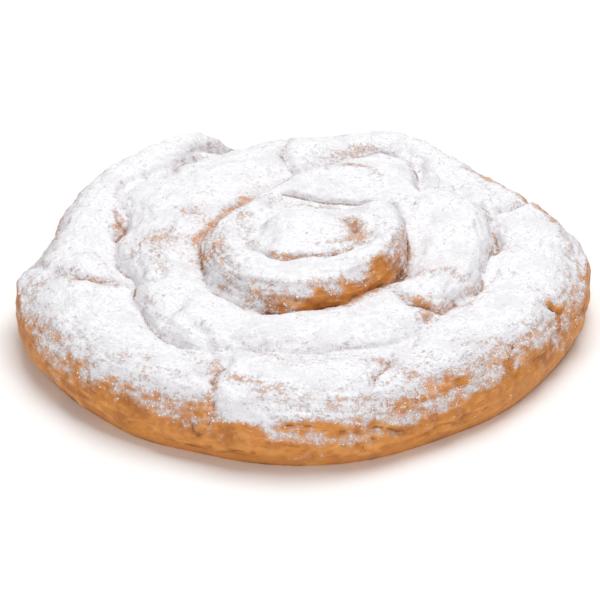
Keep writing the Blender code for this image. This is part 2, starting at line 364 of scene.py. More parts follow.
def place_round(points):
    """(azimuth from 0 to 360 degrees, distance from the middle) of each point in plan."""
    return np.degrees(np.arctan2(points[:, 1], points[:, 0])) % 360, np.hypot(points[:, 0], points[:, 1])


def coil_edge(angle):
    """Radius of the rope's outer edge, which is also the inner edge of the turn around it."""
    radius = OUTER_RADIUS - FIRST_STEP_IN * smooth_step(angle, FIRST_STEP_FROM, FIRST_STEP_TO)
    radius = radius - SECOND_STEP_IN * smooth_step(angle, SECOND_STEP_FROM, SECOND_STEP_TO)
    for centre, amount, spread in SWELLS:
        radius = radius + amount * bell(angle, centre, spread)
    return radius


def first_turn_angle(azimuth):
    """The angle turned at which the rope's first turn passes the azimuth."""
    return np.where(azimuth < TAIL_ANGLE, azimuth + 360, azimuth)


def knob_edge(angle):
    """Radius from the origin to the knob's edge: it sits off the middle, towards the back."""
    right, front, left, back = KNOB_EDGE_RADII
    quarter = (angle % 360) / 90
    radii = (right, back, left, front, right)
    low = int(quarter)
    return radii[low] + (radii[low + 1] - radii[low]) * smooth_step(quarter, low, low + 1)


def rope_section(angle):
    """(middle radius, half width, crest height, taper) of the rope, before its turns are fused."""
    outer = coil_edge(angle)
    inner = coil_edge(angle + 360)
    ring = smooth_step(angle, RING_START_FROM, RING_START_TO)
    inner += (knob_edge(angle) - inner) * ring
    overlap = TURN_OVERLAP
    for centre, spread in FILLED_GROOVES:
        overlap += FILLED_GROOVE_OVERLAP * bell(angle % 360, centre % 360, spread)
    overlap *= (outer - inner) / 2
    inner -= overlap
    ring_face = smooth_step(angle, *RING_FACE_FROM) * (1 - smooth_step(angle, *RING_FACE_TO))
    outward_share = 1 - (1 - RING_FACE_OVERLAP_SHARE) * ring_face
    outer += overlap * outward_share * smooth_step(angle, FIRST_STEP_FROM, FIRST_STEP_TO)
    tail = (angle - TAIL_ANGLE) / TAIL_ROUNDING
    inner_end = (ROPE_END_ANGLE - angle) / INNER_END_ROUNDING
    share = min(1.0, max(SMALLEST_TAPER, min(tail, inner_end)))
    taper = math.sqrt(1 - (1 - share) ** 2)
    return (outer + inner) / 2, taper * (outer - inner) / 2, along(TURN_HEIGHTS, angle), taper


def start_piece():
    """Leaves nothing selected, so that an operator acts on the new piece alone."""
    if bpy.context.mode != "OBJECT":
        bpy.ops.object.mode_set(mode="OBJECT")
    bpy.ops.object.select_all(action="DESELECT")


def apply_place(obj):
    """Puts the object's place, turn and scale into its mesh."""
    bpy.context.view_layer.objects.active = obj
    obj.select_set(True)
    bpy.ops.object.transform_apply(location=True, rotation=True, scale=True)


def roll_rope():
    """Rolls the rope out straight: x is the distance from the coil's middle, y the angle to turn, z up."""
    start_piece()
    middle, half, height, taper = rope_section(TAIL_ANGLE)
    centre = Vector((middle, TAIL_ANGLE, height * WIDEST_AT))
    upright = (math.radians(90), 0, 0)
    bpy.ops.mesh.primitive_circle_add(
        vertices=SECTION_SIDES, radius=1.0, fill_type="NGON", location=centre, rotation=upright
    )
    rope = bpy.context.active_object
    rope.name = "rope"
    apply_place(rope)
    rise = height * SECTION_RISE * taper
    for vertex in rope.data.vertices:
        offset = vertex.co - centre
        for axis, reach in ((0, half), (2, rise)):
            squared = math.copysign(abs(offset[axis]) ** (2 / SECTION_POWER), offset[axis])
            vertex.co[axis] = centre[axis] + squared * reach
    bpy.ops.object.mode_set(mode="EDIT")
    bpy.ops.mesh.select_all(action="SELECT")
    steps = int((ROPE_END_ANGLE - TAIL_ANGLE) / ANGLE_STEP)
    for step in range(1, steps + 1):
        angle = TAIL_ANGLE + (ROPE_END_ANGLE - TAIL_ANGLE) * step / steps
        middle, next_half, height, taper = rope_section(angle)
        next_rise = height * SECTION_RISE * taper
        next_centre = Vector((middle, angle, height * WIDEST_AT))
        bpy.ops.mesh.extrude_region_move(TRANSFORM_OT_translate={"value": next_centre - centre})
        bpy.ops.transform.resize(
            value=(next_half / half, 1.0, next_rise / rise), center_override=next_centre
        )
        centre, half, rise = next_centre, next_half, next_rise
    bpy.ops.object.mode_set(mode="OBJECT")
    return rope


def wind(rope):
    """Winds the straight rope round the middle, so that y becomes the angle turned."""
    for vertex in rope.data.vertices:
        turn = math.radians(vertex.co.y)
        vertex.co = (vertex.co.x * math.cos(turn), vertex.co.x * math.sin(turn), vertex.co.z)


def add_middle():
    """The knob, the dough under it, and the dough that closes the underside of the coil."""
    start_piece()
    bpy.ops.mesh.primitive_uv_sphere_add(segments=48, ring_count=32, radius=1.0, location=KNOB_CENTRE)
    knob = bpy.context.active_object
    knob.scale = KNOB_RADII
    apply_place(knob)
    start_piece()
    base, top = HEART_RADII
    bpy.ops.mesh.primitive_cone_add(
        vertices=48, radius1=base, radius2=top, depth=HEART_HEIGHT, location=(0, 0, HEART_HEIGHT / 2)
    )
    heart = bpy.context.active_object
    apply_place(heart)
    start_piece()
    bpy.ops.mesh.primitive_cylinder_add(
        vertices=64,
        radius=FLOOR_OF_DOUGH_RADIUS,
        depth=FLOOR_OF_DOUGH_HEIGHT,
        location=(0, 0, FLOOR_OF_DOUGH_HEIGHT / 2),
    )
    floor_of_dough = bpy.context.active_object
    apply_place(floor_of_dough)
    return knob, heart, floor_of_dough


def press_together(rope, others):
    """Joins the pieces of dough, fuses them into one skin, lets it settle, and cuts its base flat."""
    start_piece()
    for piece in (*others, rope):
        piece.select_set(True)
    bpy.context.view_layer.objects.active = rope
    bpy.ops.object.join()
    fuse = rope.modifiers.new("fuse", "REMESH")
    fuse.mode = "VOXEL"
    fuse.voxel_size = FUSING_VOXEL
    bpy.ops.object.modifier_apply(modifier=fuse.name)
    settle = rope.modifiers.new("settle", "SMOOTH")
    settle.factor = SMOOTHING_SHARE
    settle.iterations = SMOOTHING_ROUNDS
    bpy.ops.object.modifier_apply(modifier=settle.name)
    bpy.ops.object.mode_set(mode="EDIT")
    bpy.ops.mesh.select_all(action="SELECT")
    bpy.ops.mesh.bisect(plane_co=(0, 0, BASE_CUT), plane_no=(0, 0, 1), use_fill=True, clear_inner=True)
    bpy.ops.mesh.separate(type="LOOSE")
    bpy.ops.object.mode_set(mode="OBJECT")
    shells = sorted(bpy.context.selected_objects, key=lambda shell: len(shell.data.vertices))
    for scrap in shells[:-1]:
        bpy.data.objects.remove(scrap)
    return shells[-1]


def mesh_points(obj):
    points = np.empty(len(obj.data.vertices) * 3)
    obj.data.vertices.foreach_get("co", points)
    return points.reshape(-1, 3)


def mesh_normals(obj):
    normals = np.empty(len(obj.data.vertices) * 3)
    obj.data.vertices.foreach_get("normal", normals)
    return normals.reshape(-1, 3)


def set_points(obj, points):
    obj.data.vertices.foreach_set("co", np.ascontiguousarray(points).reshape(-1))
    obj.data.update()


def set_attribute(obj, name, values):
    layer = obj.data.attributes.new(name, "FLOAT", "POINT")
    layer.data.foreach_set("value", np.ascontiguousarray(values, dtype=np.float32))


def averaged(obj, values, rounds):
    """The values at the mesh's points, each replaced by its neighbours' mean as many times as asked."""
    ends = np.empty(len(obj.data.edges) * 2, int)
    obj.data.edges.foreach_get("vertices", ends)
    first, second = ends.reshape(-1, 2).T
    size = len(values)
    count = np.bincount(first, minlength=size) + np.bincount(second, minlength=size)
    for _ in range(rounds):
        sums = [
            np.bincount(first, values[second, axis], size) + np.bincount(second, values[first, axis], size)
            for axis in range(values.shape[1])
        ]
        values = np.stack(sums, axis=1) / count[:, None]
    return values


def noise_at(points, size, seed=0):
    shift = Vector([seed * step for step in NOISE_STEP])
    return np.array([noise.noise(Vector(point) + shift) for point in points / size])


def wandered(points, size, amount):
    """The points, pushed about by noise, so that a line drawn near them wanders."""
    return points + amount * np.array([noise.noise_vector(Vector(point) / size) for point in points])


def closeness(flat, half_width, line):
    """1 on the line and falling off to each side of it, and fading towards the line's two ends."""
    nearest = np.full(len(flat), np.inf)
    position = np.zeros(len(flat))
    for index, (start, end) in enumerate(zip(line, line[1:])):
        run = np.subtract(end, start)
        share = np.clip((flat - start) @ run / (run @ run), 0, 1)
        distance = np.linalg.norm(flat - start - share[:, None] * run, axis=1)
        closer = distance < nearest
        nearest[closer] = distance[closer]
        position[closer] = (index + share[closer]) / (len(line) - 1)
    fade = np.sin(np.pi * np.clip(position, LINE_END_SHARE, 1 - LINE_END_SHARE)) ** LINE_END_SOFTNESS
    return fade * np.exp(-((nearest / half_width) ** 2))


def widened(grid, reach, pick):
    """Each cell takes the highest (or lowest) of the cells within reach of it."""
    padded = np.pad(grid, reach, mode="edge")
    rows, columns = grid.shape
    result = grid.copy()
    for down in range(-reach, reach + 1):
        for across in range(-reach, reach + 1):
            if down * down + across * across <= reach * reach:
                window = padded[reach + down:reach + down + rows, reach + across:reach + across + columns]
                result = pick(result, window)
    return result


def softened(grid, rounds):
    for _ in range(rounds):
        padded = np.pad(grid, 1, mode="edge")
        grid = (padded[:-2, 1:-1] + padded[2:, 1:-1] + padded[1:-1, :-2] + padded[1:-1, 2:]) / 4
    return grid


def read_grid(grid, place):
    """The grid's value at each place, evenly between its cells."""
    corner = np.clip(place.astype(int), 0, np.array(grid.shape) - 2)
    share = np.clip(place - corner, 0, 1)
    column, row = corner.T
    near = grid[column, row] * (1 - share[:, 0]) + grid[column + 1, row] * share[:, 0]
    far = grid[column, row + 1] * (1 - share[:, 0]) + grid[column + 1, row + 1] * share[:, 0]
    return near * (1 - share[:, 1]) + far * share[:, 1]


def height_map(points):
    """(grid of the dough's greatest height in each cell of the plan, the grid's low corner)."""
    low = points[:, :2].min(axis=0) - 2 * HEIGHT_CELL
    cells = ((points[:, :2] - low) / HEIGHT_CELL).astype(int)
    heights = np.zeros(cells.max(axis=0) + 3)
    np.maximum.at(heights, tuple(cells.T), points[:, 2])
    return np.where(heights > 0, heights, widened(heights, 1, np.maximum)), low


def groove_limits(shape, low):
    """How deep a groove may stay in each cell of the height map."""
    centres = (np.indices(shape).reshape(2, -1).T + 0.5) * HEIGHT_CELL + low
    past_knob = smooth_step(np.linalg.norm(centres - KNOB_CENTRE[:2], axis=1), *KNOB_GROOVE_EDGE)
    limit = KNOB_GROOVE_LIMIT + (GROOVE_LIMIT - KNOB_GROOVE_LIMIT) * past_knob
    for deeper, half_width, line in GROOVE_CHANGES:
        limit = limit + deeper * closeness(centres, half_width, line)
    return limit.reshape(shape)


def filling(depth, limit):
    """How much of a hollow is filled: little of a shallow one, all but about the limit of a deep one."""
    return depth - limit * (1 - np.exp(-depth / limit))


def rise_in_grooves(pastry):
    """Lifts the bottoms and walls of deep grooves, as dough does that rises against its neighbour."""
    points = mesh_points(pastry)
    heights, low = height_map(points)
    reach = int(GROOVE_REACH / HEIGHT_CELL)
    filled = widened(widened(heights, reach, np.maximum), reach, np.minimum)
    limit = groove_limits(heights.shape, low)
    lift = softened(filling(filled - heights, limit), HEIGHT_SOFTENING_ROUNDS)

    place = (points[:, :2] - low) / HEIGHT_CELL - 0.5
    wall_depth = np.maximum(read_grid(softened(filled, HEIGHT_SOFTENING_ROUNDS), place) - points[:, 2], 0)
    wall_lift = filling(wall_depth, read_grid(limit, place))
    azimuth, radius = place_round(points)
    inside_rim = smooth_step(coil_edge(first_turn_angle(azimuth)) - radius, *WALLS_FILLED_INSIDE_RIM)
    above_base = smooth_step(points[:, 2], *FILLED_ABOVE_BASE)
    raised = np.maximum(read_grid(lift, place), wall_lift * inside_rim) * above_base
    points[:, 2] += raised
    relaxed = averaged(pastry, points, GROOVE_SMOOTHING_ROUNDS)
    points += (relaxed - points) * (np.clip(raised, 0, 1) * above_base)[:, None]
    set_points(pastry, points)


def tuck_base(pastry):
    """Draws the foot of the outer side in, as the skin of dough curls under where it rests."""
    points = mesh_points(pastry)
    azimuth, radius = place_round(points)
    amount = np.full(len(points), BASE_TUCK)
    for more, centre, half_width in MORE_BASE_TUCK:
        amount += more * bell(angle_from(centre, azimuth), 0, half_width)
    amount *= 1 - smooth_step(points[:, 2], 0, BASE_TUCK_TOP)
    points[:, :2] *= (1 - amount / radius)[:, None]
    set_points(pastry, points)


def coil_place(flat):
    """(angle of the turn around each point, nearness to the seams between turns, share inside) in plan."""
    azimuth, radius = place_round(flat)
    first = first_turn_angle(azimuth)
    outer_seam, inner_seam = coil_edge(first + 360), coil_edge(first + 720)
    angle = first + 360 * ((radius < outer_seam).astype(int) + (radius < inner_seam))
    seam = bell(radius, outer_seam, SEAM_HALF_WIDTH) + bell(radius, inner_seam, SEAM_HALF_WIDTH)
    at_outer_seam = radius > inner_seam + SEAM_HALF_WIDTH
    for centre, spread in FILLED_GROOVES:
        seam *= 1 - FILLED_SEAM_LOSS * bell(angle_from(centre, first), 0, spread) * at_outer_seam
    inside = smooth_step(outer_seam - radius, *INSIDE_OUTER_SEAM)
    return angle, seam, inside


def side_places(points, middle_angle):
    """Points of the outer side unrolled flat: distance round it from the middle angle, and height."""
    turned = angle_from(middle_angle, place_round(points)[0])
    return np.stack([np.radians(turned) * OUTER_RADIUS, points[:, 2]], axis=1)


def side_mark(points, half_width, line):
    """Closeness to a line on the outer side, which is given as angles and heights."""
    middle_angle = line[0][0]
    unrolled = [
        (math.radians(angle_from(middle_angle, angle)) * OUTER_RADIUS, height) for angle, height in line
    ]
    outside = smooth_step(place_round(points)[1], *SIDE_RADII)
    return outside * closeness(side_places(points, middle_angle), half_width, unrolled)


def press_lines(points, normals, loose):
    """(depth of all the lines, how cracked they are, angle of the turn) at the points."""
    flat = wandered(points, FOLD_WANDER_SIZE, FOLD_WANDER)[:, :2]
    above_side = smooth_step(normals[:, 2], *FOLDED_FACING)
    angle, seam, _ = coil_place(wandered(points, SEAM_WANDER_SIZE, SEAM_WANDER)[:, :2])
    fade = smooth_step(noise_at(points, SEAM_FADE_SIZE, seed=6), *SEAM_FADE)
    seam *= above_side * (FAINTEST_SEAM + (1 - FAINTEST_SEAM) * fade)
    cuts = SEAM_DEPTH * seam
    cracks = seam.copy()
    for depth, half_width, line in FOLDS:
        cuts = np.maximum(cuts, depth * closeness(flat, half_width, line) * above_side)
        near = closeness(flat, half_width * CRACK_WIDTH_SHARE, line) * above_side
        cracked = SHALLOW_FOLD_CRACK + (1 - SHALLOW_FOLD_CRACK) * depth / DEEP_FOLD
        cracks = np.maximum(cracks, near * min(1.0, cracked))
    for depth, half_width, line in SIDE_MARKS:
        near = side_mark(loose, half_width, line)
        cuts += depth * near
        cracks = np.maximum(cracks, near * np.clip(depth * SIDE_CRACK_PER_DEPTH, 0, 1.0))
    creases = bell(noise_at(points, CREASE_SPACING, seed=4), 0, CREASE_NARROWNESS)
    creases *= smooth_step(noise_at(points, CREASE_PATCH_SIZE, seed=5), *CREASE_PATCHES)
    creases *= smooth_step(normals[:, 2], *CREASE_FACING)
    cuts = np.maximum(cuts, creases * CREASE_DEPTH)
    cracks = np.maximum(cracks, creases * CREASE_CRACK)
    return cuts, cracks, angle


def flakiness(points, angle, facing_up):
    """How flaky the crust is: most on the ring's left flank and front, not at all on the knob."""
    radius = place_round(points)[1]
    side = smooth_step(radius, *FLAKY_SIDE_RADII) * (1 - smooth_step(facing_up, *TOP_FACING))
    flaky = EVEN_FLAKINESS + SIDE_FLAKINESS * side
    for amount, rising, falling, least_radii in FLAKY_STRETCHES:
        stretch = smooth_step(angle, *rising) * (1 - smooth_step(angle, *falling))
        flaky += amount * stretch * smooth_step(radius, *least_radii)
    from_knob = np.linalg.norm(points[:, :2] - KNOB_CENTRE[:2], axis=1)
    return flaky * smooth_step(from_knob, *FLAKY_FROM_KNOB)


def rib_pattern(points):
    """Noise drawn out along slanting ribs on the outer side."""
    around, height = side_places(points, RIBBED_BAND[1][0][0]).T
    slope = math.radians(RIB_SLOPE)
    across_ribs = around * math.sin(slope) + height * math.cos(slope)
    along_ribs = around * math.cos(slope) - height * math.sin(slope)
    ribs = np.column_stack([across_ribs / RIB_WIDTH, along_ribs / RIB_LENGTH, np.zeros(len(points))])
    return noise_at(ribs, 1.0, seed=10)


def swell_crust(points, loose, flaky):
    """Height of the bumps, ripples, wrinkles, flakes and ribs at the points."""
    radius = place_round(points)[1]
    slanted = radius - points[:, 2] * FLAKE_SLANT
    layers = np.column_stack([points[:, :2] / FLAKE_LENGTH, slanted / FLAKE_WIDTH])
    swelling = noise_at(points, BUMP_SIZE) * BUMP_HEIGHT
    swelling += noise_at(points, RIPPLE_SIZE, seed=1) * RIPPLE_HEIGHT
    swelling += noise_at(points, WRINKLE_SIZE, seed=2) * WRINKLE_HEIGHT
    swelling += noise_at(layers, 1.0, seed=3) * flaky * FLAKE_HEIGHT
    swelling += rib_pattern(points) * side_mark(loose, *RIBBED_BAND) * RIB_HEIGHT
    return swelling


def bake_uneven(pastry):
    """Draws in the seams, folds and creases, raises flakes, and swells the crust unevenly."""
    points, normals = mesh_points(pastry), mesh_normals(pastry)
    loose = wandered(points, PATCH_WANDER_SIZE, PATCH_WANDER)
    cuts, cracks, angle = press_lines(points, normals, loose)
    flaky = flakiness(points, angle, normals[:, 2])
    move = swell_crust(points, loose, flaky) - cuts
    move *= sum(share * smooth_step(points[:, 2], low, high) for share, low, high in FOOT_UNEVENNESS)
    set_points(pastry, points + normals * move[:, None])
    set_attribute(pastry, "crack", np.clip(cracks, 0, 1))
    set_attribute(pastry, "flaky", np.clip(flaky, 0, 1))


def hollow_depth(pastry, rounds):
    """How deep each point lies below its smoothed surroundings, in mm: positive in a groove."""
    points, normals = mesh_points(pastry), mesh_normals(pastry)
    return ((averaged(pastry, points, rounds) - points) * normals).sum(axis=1)


def dust_with_sugar(pastry):
    """Stores how thickly sugar lies on each point, how level it is, and how deep in a crevice or groove."""
    points, normals = mesh_points(pastry), mesh_normals(pastry)
    azimuth, radius = place_round(points)
    wide_facing = averaged(pastry, normals, FACING_ROUNDS)[:, 2]
    facing_up = OWN_FACING_SHARE * normals[:, 2] + (1 - OWN_FACING_SHARE) * wide_facing
    set_attribute(pastry, "level", smooth_step(facing_up, *LEVEL_FACING))
    loose = wandered(points, PATCH_WANDER_SIZE, PATCH_WANDER)
    flat = loose[:, :2]
    _, _, inside = coil_place(flat)
    facing_up += (1 - facing_up) * SUGAR_INSIDE_GROOVES * inside
    cover = np.clip(facing_up / SUGAR_FULL_ABOVE, LEAST_SUGAR, MOST_SUGAR)
    edge = bell(cover, EDGE_COVER, EDGE_SPREAD)
    cover += edge * noise_at(points, TONGUE_SIZE, seed=8) * TONGUE_REACH
    cover += edge * noise_at(points, LOBE_SIZE, seed=9) * LOBE_REACH
    rim = smooth_step(radius, *RIM_RADII)
    for amount, centre, half_width in RIM_SUGAR:
        cover += amount * rim * bell(angle_from(centre, azimuth), 0, half_width)
    for amount, half_width, line in BARE_PATCHES:
        cover -= amount * closeness(flat, half_width, line)
    for amount, half_width, line in SIDE_SUGAR:
        cover += amount * side_mark(loose, half_width, line)
    cover = np.minimum(cover, MOST_SUGAR)
    set_attribute(pastry, "sugar", cover)
    for name, rounds, full_depth in HOLLOWS:
        set_attribute(pastry, name, np.clip(hollow_depth(pastry, rounds) / full_depth, -1, 1))
    return cover


def small_ball():
    """(points, faces) of a ball of 20 faces."""
    start_piece()
    bpy.ops.mesh.primitive_ico_sphere_add(subdivisions=1, radius=1.0, location=(0, 0, 0))
    ball = bpy.context.active_object
    points = mesh_points(ball)
    faces = np.array([face.vertices[:] for face in ball.data.polygons])
    bpy.data.objects.remove(ball)
    return points, faces


def lump_places(pastry, cover, random):
    """(place, direction outward) of each lump, thickest where the coat of sugar thins out."""
    pastry.data.calc_loop_triangles()
    corners = np.array([triangle.vertices[:] for triangle in pastry.data.loop_triangles])
    points, normals = mesh_points(pastry), mesh_normals(pastry)
    first, second, third = (points[corners[:, index]] for index in range(3))
    area = np.linalg.norm(np.cross(second - first, third - first), axis=1)
    coat = cover[corners].mean(axis=1)
    facing_up = normals[corners, 2].mean(axis=1)
    wanted = bell(coat, LUMP_COVER, LUMP_COVER_SPREAD)
    for amount, low, high in OTHER_LUMPS:
        wanted += amount * smooth_step(coat, low, high)
    weight = area * wanted * smooth_step(facing_up, *LUMP_FACING)
    chosen = random.choice(len(corners), size=LUMP_COUNT, p=weight / weight.sum())
    share = np.sort(random.random((LUMP_COUNT, 2)), axis=1)
    parts = np.column_stack([share[:, 0], share[:, 1] - share[:, 0], 1 - share[:, 1]])
    places = np.einsum("ij,ijk->ik", parts, points[corners[chosen]])
    outward = normals[corners[chosen]].mean(axis=1)
    outward /= np.linalg.norm(outward, axis=1)[:, None]
    return places, outward


def scatter_lumps(pastry, cover):
    """Loose lumps of sugar: one small ball copied into one mesh, each copy stretched and flattened."""
    ball_points, ball_faces = small_ball()
    random = np.random.default_rng(seed=LUMP_SEED)
    places, outward = lump_places(pastry, cover, random)
    size_shares = random.random(LUMP_COUNT) ** LUMP_SIZE_POWER
    sizes = LUMP_SMALLEST + (LUMP_LARGEST - LUMP_SMALLEST) * size_shares
    stretch = LUMP_LEAST_STRETCH + LUMP_STRETCH_RANGE * random.random((LUMP_COUNT, 1, 3))
    dents = (random.random((LUMP_COUNT, len(ball_points), 3)) - 0.5) * LUMP_ROUGHNESS
    shapes = ball_points[None] * stretch + dents
    height = np.einsum("ijk,ik->ij", shapes, outward)
    shapes -= (1 - LUMP_FLATNESS) * height[:, :, None] * outward[:, None]
    lumps = places[:, None] + shapes * sizes[:, None, None]
    faces = ball_faces[None] + (np.arange(LUMP_COUNT) * len(ball_points))[:, None, None]
    mesh = bpy.data.meshes.new("sugar_lumps")
    mesh.from_pydata(lumps.reshape(-1, 3), [], faces.reshape(-1, 3))
    sugar = bpy.data.objects.new("sugar_lumps", mesh)
    bpy.context.scene.collection.objects.link(sugar)
    return sugar


def fit_to_frame(pieces, node):
    """Scales and moves the pieces together, to metres, so that they just fit in the box of the CAD node."""
    low, high = (np.array(corner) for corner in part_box(node))
    every_point = np.concatenate([mesh_points(piece) for piece in pieces])
    own_low, own_high = every_point.min(axis=0), every_point.max(axis=0)
    for piece in pieces:
        set_points(piece, (mesh_points(piece) - own_low) * ((high - low) / (own_high - own_low)) + low)


class NodeMaker:
    """Adds shader nodes to one material, a line for each."""

    def __init__(self, name):
        self.material = bpy.data.materials.new(name)
        self.material.use_nodes = True
        self.tree = self.material.node_tree
        self.shader = self.tree.nodes["Principled BSDF"]
        self.place = self.tree.nodes.new("ShaderNodeTexCoord").outputs["Object"]

    def feed(self, socket, value):
        if isinstance(value, bpy.types.NodeSocket):
            self.tree.links.new(value, socket)
        else:
            socket.default_value = value

    def add(self, kind, *given, **settings):
        """Adds a node with these settings and feeds its first inputs."""
        node = self.tree.nodes.new("ShaderNode" + kind)
        for name, value in settings.items():
            setattr(node, name, value)
        for socket, value in zip(node.inputs, given):
            self.feed(socket, value)
        return node

    def attribute(self, name):
        return self.add("Attribute", attribute_name=name).outputs["Fac"]

    def grain(self, size, detail=2.0, roughness=0.5, place=None):
        """Noise between 0 and 1, whose lumps are about the given size in mm."""
        node = self.add("TexNoise", place or self.place)
        node.inputs["Scale"].default_value = 1 / (size * MM)
        node.inputs["Detail"].default_value = detail
        node.inputs["Roughness"].default_value = roughness
        return node.outputs["Fac"]

    def specks(self, size, place=None):
        """A chance number from 0 to 1 for each speck of about the given size in mm."""
        node = self.add("TexVoronoi", place or self.place)
        node.inputs["Scale"].default_value = 1 / (size * MM)
        return self.add("SeparateColor", node.outputs["Color"]).outputs[0]

    def coordinates(self):
        """x, y and the height above the base, in metres."""
        return self.add("SeparateXYZ", self.place).outputs

    def along_rope(self, stretch):
        """A place where x and y run slowly and the third number is the distance from the coil's middle."""
        x, y, z = self.coordinates()
        squares = self.math("ADD", self.math("MULTIPLY", x, x), self.math("MULTIPLY", y, y))
        outward = self.math("MULTIPLY_ADD", z, -FLAKE_SLANT, self.math("SQRT", squares))
        slow_x, slow_y = self.math("MULTIPLY", x, stretch), self.math("MULTIPLY", y, stretch)
        return self.add("CombineXYZ", slow_x, slow_y, outward).outputs["Vector"]

    def math(self, operation, first, second=0.0, third=0.0):
        return self.add("Math", first, second, third, operation=operation).outputs["Value"]

    def sway(self, value, amount, to):
        """Adds a noise value, taken about its middle and times the amount, to another value."""
        return self.math("MULTIPLY_ADD", self.math("SUBTRACT", value, 0.5), amount, to)

    def moved(self, amount, size):
        """The place, pushed about by up to the given amount by noise of the given size, both in mm."""
        node = self.add("TexNoise", self.place)
        node.inputs["Scale"].default_value = 1 / (size * MM)
        push = (amount * MM,) * 3
        pushed = self.add("VectorMath", node.outputs["Color"], push, self.place, operation="MULTIPLY_ADD")
        return pushed.outputs["Vector"]

    def ease(self, value, low, high, to_low=0.0, to_high=1.0):
        """Goes gently from to_low to to_high while the value goes from low to high."""
        node = self.add("MapRange", value, low, high, to_low, to_high, interpolation_type="SMOOTHSTEP")
        return node.outputs["Result"]

    def mix(self, share, first, second):
        node = self.add("Mix", share, data_type="RGBA")
        self.feed(node.inputs[6], first)
        self.feed(node.inputs[7], second)
        return node.outputs[2]

    def tinted(self, colour, tint, value, low, high, most):
        """The colour with the tint mixed in, up to the share most while the value goes from low to high."""
        return self.mix(self.ease(value, low, high, 0.0, most), colour, tint)

    def bump(self, height, depth, below=None):
        """Bumps of the given depth in mm, on top of those below."""
        node = self.add("Bump")
        node.inputs["Strength"].default_value = 1.0
        node.inputs["Distance"].default_value = depth * MM
        self.feed(node.inputs["Height"], height)
        if below:
            self.feed(node.inputs["Normal"], below)
        return node.outputs["Normal"]

    def finished(self, colour, roughness, shine, normal=None):
        """Feeds the shader and gives back the material."""
        self.feed(self.shader.inputs["Base Color"], colour)
        self.feed(self.shader.inputs["Roughness"], roughness)
        self.shader.inputs["Specular IOR Level"].default_value = shine
        if normal:
            self.feed(self.shader.inputs["Normal"], normal)
        return self.material


class CrustMaker(NodeMaker):
    """Has the noises and the stored values that the crust and its sugar share."""

    def __init__(self, name):
        super().__init__(name)
        self.fine = self.grain(0.5, detail=2.0, roughness=0.6)
        self.medium = self.grain(1.6, detail=3.0, roughness=0.6)
        self.broad = self.grain(6.0, detail=3.0)
        streaks = self.grain(0.9, detail=4.0, roughness=0.6, place=self.along_rope(0.14))
        flaky = self.ease(self.attribute("flaky"), 0.0, 0.3)
        self.wrinkles = self.math("MULTIPLY_ADD", self.math("SUBTRACT", streaks, 0.5), flaky, 0.5)
        self.crack = self.attribute("crack")
        self.crevice = self.attribute("crevice")
        self.groove = self.attribute("groove")
        self.sugar = self.attribute("sugar")
        self.level = self.attribute("level")


def golden_crust(make):
    """Bare crust: blotched, wrinkled along the rope, paler at the foot, with a painted highlight on ridges
    and brown painted shade in crevices and grooves, dark in cracks.
    """
    gold = make.tinted(CRUST_GOLD, CRUST_DARK, make.broad, 0.40, 0.70, 0.8)
    gold = make.tinted(gold, CRUST_PALE, make.medium, 0.45, 0.80, 0.6)
    gold = make.tinted(gold, CRUST_DARK, make.wrinkles, 0.44, 0.28, 0.9)
    gold = make.tinted(gold, CRUST_PALE, make.wrinkles, 0.56, 0.70, 0.7)
    gold = make.tinted(gold, CRUST_PALE, make.fine, 0.58, 0.78, 0.5)
    # Painted highlight: the crust is paler on ridges, where the surface stands above its surroundings.
    gold = make.tinted(gold, CRUST_PALE, make.crevice, -0.05, -0.7, 0.45)
    height = make.coordinates()[2]
    above_floor = make.ease(height, 0.2 * MM, 0.8 * MM)
    foot = make.math("MULTIPLY", make.ease(height, 4.0 * MM, 1.4 * MM, 0.0, 0.45), above_floor)
    gold = make.mix(foot, gold, CRUST_PALE)
    # Painted shade: brown in crevices and deep grooves, and dark in cracks as well.
    painted_groove_shade = make.ease(make.groove, 0.7, 1.0, 0.0, 0.4)
    painted_hollow_shade = make.math("MAXIMUM", make.ease(make.crevice, 0.25, 1.0), painted_groove_shade)
    return make.mix(make.math("MAXIMUM", painted_hollow_shade, make.ease(make.crack, 0.80, 1.0)), gold, SHADE_AND_CRACK_BROWN)


def sugar_density(make):
    """How thickly the sugar lies: patchy, and thinner in crevices and cracks."""
    density = make.sway(make.medium, 1.1, make.sugar)
    density = make.sway(make.broad, 0.6, density)
    density = make.sway(make.wrinkles, 0.6, density)
    density = make.math("SUBTRACT", density, make.ease(make.crevice, 0.4, 1.0, 0.0, 0.35))
    return make.math("SUBTRACT", density, make.ease(make.crack, 0.7, 1.0, 0.0, 0.45))


def speck_chance(make):
    """The density that each speck needs before sugar shows on it."""
    coarse_specks = make.specks(0.62, place=make.moved(0.5, 0.5))
    fine_specks = make.specks(0.34, place=make.moved(0.3, 0.3))
    chance = make.math("MULTIPLY_ADD", coarse_specks, 0.45, make.math("MULTIPLY", fine_specks, 0.45))
    return make.sway(make.fine, 0.5, chance)


def dusted_crust(make, density):
    """Crust between the specks of sugar, under a thin veil of its dust."""
    dusty = make.math("MULTIPLY", make.level, make.ease(make.medium, 0.35, 0.6, 0.25, 0.85))
    veil = make.math("MAXIMUM", make.ease(density, -0.05, 0.75), dusty)
    veil = make.math("MULTIPLY", veil, make.ease(make.fine, 0.3, 0.6, 0.45, 0.95))
    return make.mix(veil, golden_crust(make), DUSTED_CRUST)


